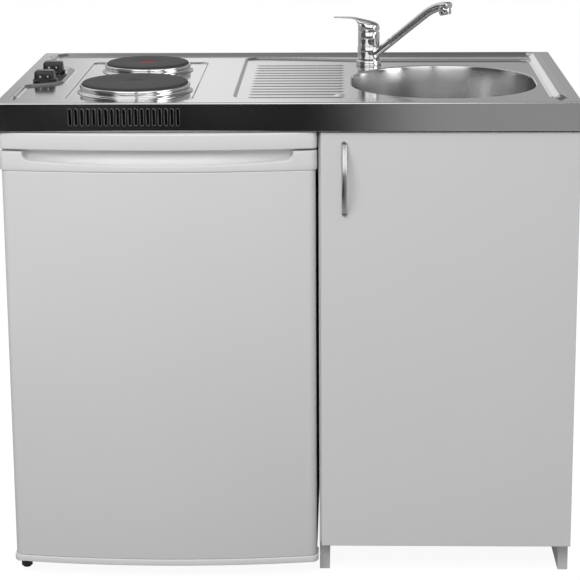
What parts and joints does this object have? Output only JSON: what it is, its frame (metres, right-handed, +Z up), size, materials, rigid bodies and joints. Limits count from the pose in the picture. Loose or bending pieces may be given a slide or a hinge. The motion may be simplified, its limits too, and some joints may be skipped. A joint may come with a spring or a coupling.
{
  "type": "kitchenette unit with sink and hob",
  "caption": "Compact kitchenette: pressed steel worktop with sink bowl, drainer, electric hotplates and mixer tap over a small refrigerator and a white cupboard.",
  "frame": {"origin": "on the floor under the middle of the bounding box", "axes": "+X to the right seen from the front, +Y towards the wall behind, +Z up"},
  "size_m": [1, 0.619, 0.992],
  "materials": {
    "worktop_steel": "satin",
    "chrome": "gloss",
    "cast_iron": "matte",
    "timber": "matte",
    "zinc_steel": "satin",
    "handle_steel": "satin",
    "black_plastic": "satin",
    "white_plastic": "satin",
    "waste_plastic": "satin",
    "clear_plastic": "gloss",
    "white_board": "satin",
    "white_enamel": "gloss",
    "grey_rubber": "matte",
    "black_paint": "satin",
    "brass": "satin",
    "shelf_glass": "gloss"
  },
  "bodies": {
    "base": {"worktop_sheet": "worktop_steel", "sink_bowl": "worktop_steel", "worktop_battens": "timber", "hotplate_front": "cast_iron", "hotplate_rear": "cast_iron", "spill_ring_front": "chrome", "spill_ring_rear": "chrome", "hob_tray": "zinc_steel", "hotplate_clamps": "zinc_steel", "regulator_front": "white_plastic", "regulator_rear": "white_plastic", "hob_terminal_box": "black_plastic", "strainer_flange": "chrome", "waste_cup": "waste_plastic", "overflow_rosette": "chrome", "overflow_pipe": "waste_plastic", "bottle_trap": "waste_plastic", "waste_pipe": "waste_plastic", "tap_body": "chrome", "tap_fixing": "zinc_steel", "side_panel_left": "white_board", "side_panel_right": "white_board", "bottom_panel": "white_board", "back_panel": "white_board", "front_rail": "white_board", "rear_rail": "white_board", "shelf": "white_board", "shelf_pins": "zinc_steel", "hinge_arms": "zinc_steel", "fridge_case": "white_enamel", "fridge_liner": "white_plastic", "fridge_fascia": "white_plastic", "hinge_bracket_upper": "zinc_steel", "hinge_bracket_lower": "black_paint", "fridge_feet": "black_plastic", "freezer_box": "white_plastic", "fridge_shelves": "shelf_glass", "crisper": "clear_plastic", "compressor": "black_paint", "condenser": "black_paint"},
    "fridge_door": {"fridge_door_panel": "white_enamel", "fridge_door_liner": "white_plastic", "fridge_gasket": "grey_rubber", "fridge_handle_strip": "white_plastic", "fridge_bottom_trim": "white_plastic", "door_racks": "clear_plastic"},
    "cupboard_door_leaf": {"cupboard_door": "white_board", "bow_handle": "handle_steel", "handle_screws": "zinc_steel", "hinge_cups": "zinc_steel"},
    "hinge_links": {"hinge_links": "zinc_steel"},
    "knob_front": {"knob_front": "black_plastic"},
    "knob_rear": {"knob_rear": "black_plastic"},
    "tap_spout": {"tap_spout": "chrome", "tap_aerator": "chrome"},
    "tap_stem": {"tap_stem": "brass"},
    "tap_lever": {"tap_lever": "chrome"},
    "strainer_basket": {"strainer_basket": "chrome"},
    "thermostat_dial": {"thermostat_dial": "white_plastic"},
    "freezer_flap": {"freezer_flap": "white_plastic"}
  },
  "joints": [
    {"name": "cupboard_door_hinge", "type": "hinge", "parent": "base", "child": "cupboard_door_leaf", "pos_m": [0.493, -0.2795, 0.436], "axis": [0, 0, 1], "range_deg": [0, 95]},
    {"name": "hinge_link_turn", "type": "hinge", "parent": "base", "child": "hinge_links", "pos_m": [0.464, -0.2615, 0.436], "axis": [0, 0, -1], "range_deg": [0, 30]},
    {"name": "fridge_door_hinge", "type": "hinge", "parent": "base", "child": "fridge_door", "pos_m": [-0.484, -0.2625, 0.436], "axis": [0, 0, -1], "range_deg": [0, 110]},
    {"name": "knob_front_turn", "type": "hinge", "parent": "base", "child": "knob_front", "pos_m": [-0.447, -0.0555, 0.875], "axis": [0, 0, 1], "continuous": true},
    {"name": "knob_rear_turn", "type": "hinge", "parent": "base", "child": "knob_rear", "pos_m": [-0.447, 0.0545, 0.875], "axis": [0, 0, 1], "continuous": true},
    {"name": "spout_swing", "type": "hinge", "parent": "base", "child": "tap_spout", "pos_m": [0.143, 0.1695, 0.885], "axis": [0, 0, 1], "range_deg": [-110, 70]},
    {"name": "tap_temperature", "type": "hinge", "parent": "base", "child": "tap_stem", "pos_m": [0.143, 0.1695, 0.925], "axis": [0, 0, 1], "range_deg": [-50, 50]},
    {"name": "tap_flow", "type": "hinge", "parent": "tap_stem", "child": "tap_lever", "pos_m": [0.155, 0.1695, 0.939], "axis": [0, 1, 0], "range_deg": [0, 20]},
    {"name": "basket_lift", "type": "slide", "parent": "base", "child": "strainer_basket", "axis": [0, 0, 1], "range_m": [0, 0.03]},
    {"name": "thermostat_turn", "type": "hinge", "parent": "base", "child": "thermostat_dial", "pos_m": [0.005, -0.0405, 0.586], "axis": [-1, 0, 0], "range_deg": [0, 300]},
    {"name": "freezer_flap_hinge", "type": "hinge", "parent": "base", "child": "freezer_flap", "pos_m": [-0.2235, -0.0835, 0.769], "axis": [-1, 0, 0], "range_deg": [0, 85]}
  ],
  "couplings": [
    {"joint": "hinge_link_turn", "follows": "cupboard_door_hinge", "ratio": 0.3157}
  ]
}
